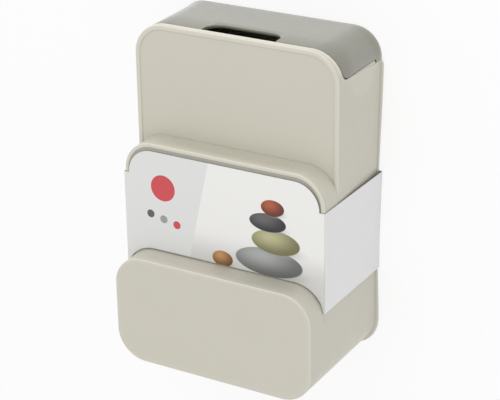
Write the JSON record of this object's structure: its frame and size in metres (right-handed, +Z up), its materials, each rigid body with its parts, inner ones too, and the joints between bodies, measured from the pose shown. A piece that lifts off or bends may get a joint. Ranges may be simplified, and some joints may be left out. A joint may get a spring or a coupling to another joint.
{
  "type": "storage organiser with drawer",
  "caption": "Stepped cupboard organiser: decks rising to the back over a slide-out drawer with a wrapped front and finger notch, in a card sleeve.",
  "frame": {"origin": "on the floor under the feet, at the middle of the footprint", "axes": "+Z up as used, drawer front toward -Y, +X to the right seen from the drawer"},
  "size_m": [0.2162, 0.3204, 0.135],
  "materials": {
    "shell_plastic": "warm grey-beige, satin",
    "drawer_plastic": "mid grey, satin",
    "printed_card": "coated white card with grey print",
    "runner_plastic": "mid grey, plain",
    "screw_steel": "zinc plated",
    "foot_rubber": "matt black"
  },
  "bodies": {
    "body": {"tiered_shell": "shell_plastic", "left_runner": "runner_plastic", "right_runner": "runner_plastic", "left_runner_screw_1": "screw_steel", "left_runner_screw_2": "screw_steel", "left_runner_screw_3": "screw_steel", "right_runner_screw_1": "screw_steel", "right_runner_screw_2": "screw_steel", "right_runner_screw_3": "screw_steel", "front_left_foot": "foot_rubber", "rear_left_foot": "foot_rubber", "front_right_foot": "foot_rubber", "rear_right_foot": "foot_rubber"},
    "drawer": {"drawer": "drawer_plastic"},
    "sleeve": {"card_sleeve": "printed_card"}
  },
  "joints": [
    {"name": "drawer_slide", "type": "slide", "parent": "body", "child": "drawer", "axis": [0, -1, 0], "range_m": [0, 0.205]},
    {"name": "sleeve_slide", "type": "slide", "parent": "body", "child": "sleeve", "axis": [0, -1, 0], "range_m": [0, 0.088]}
  ]
}
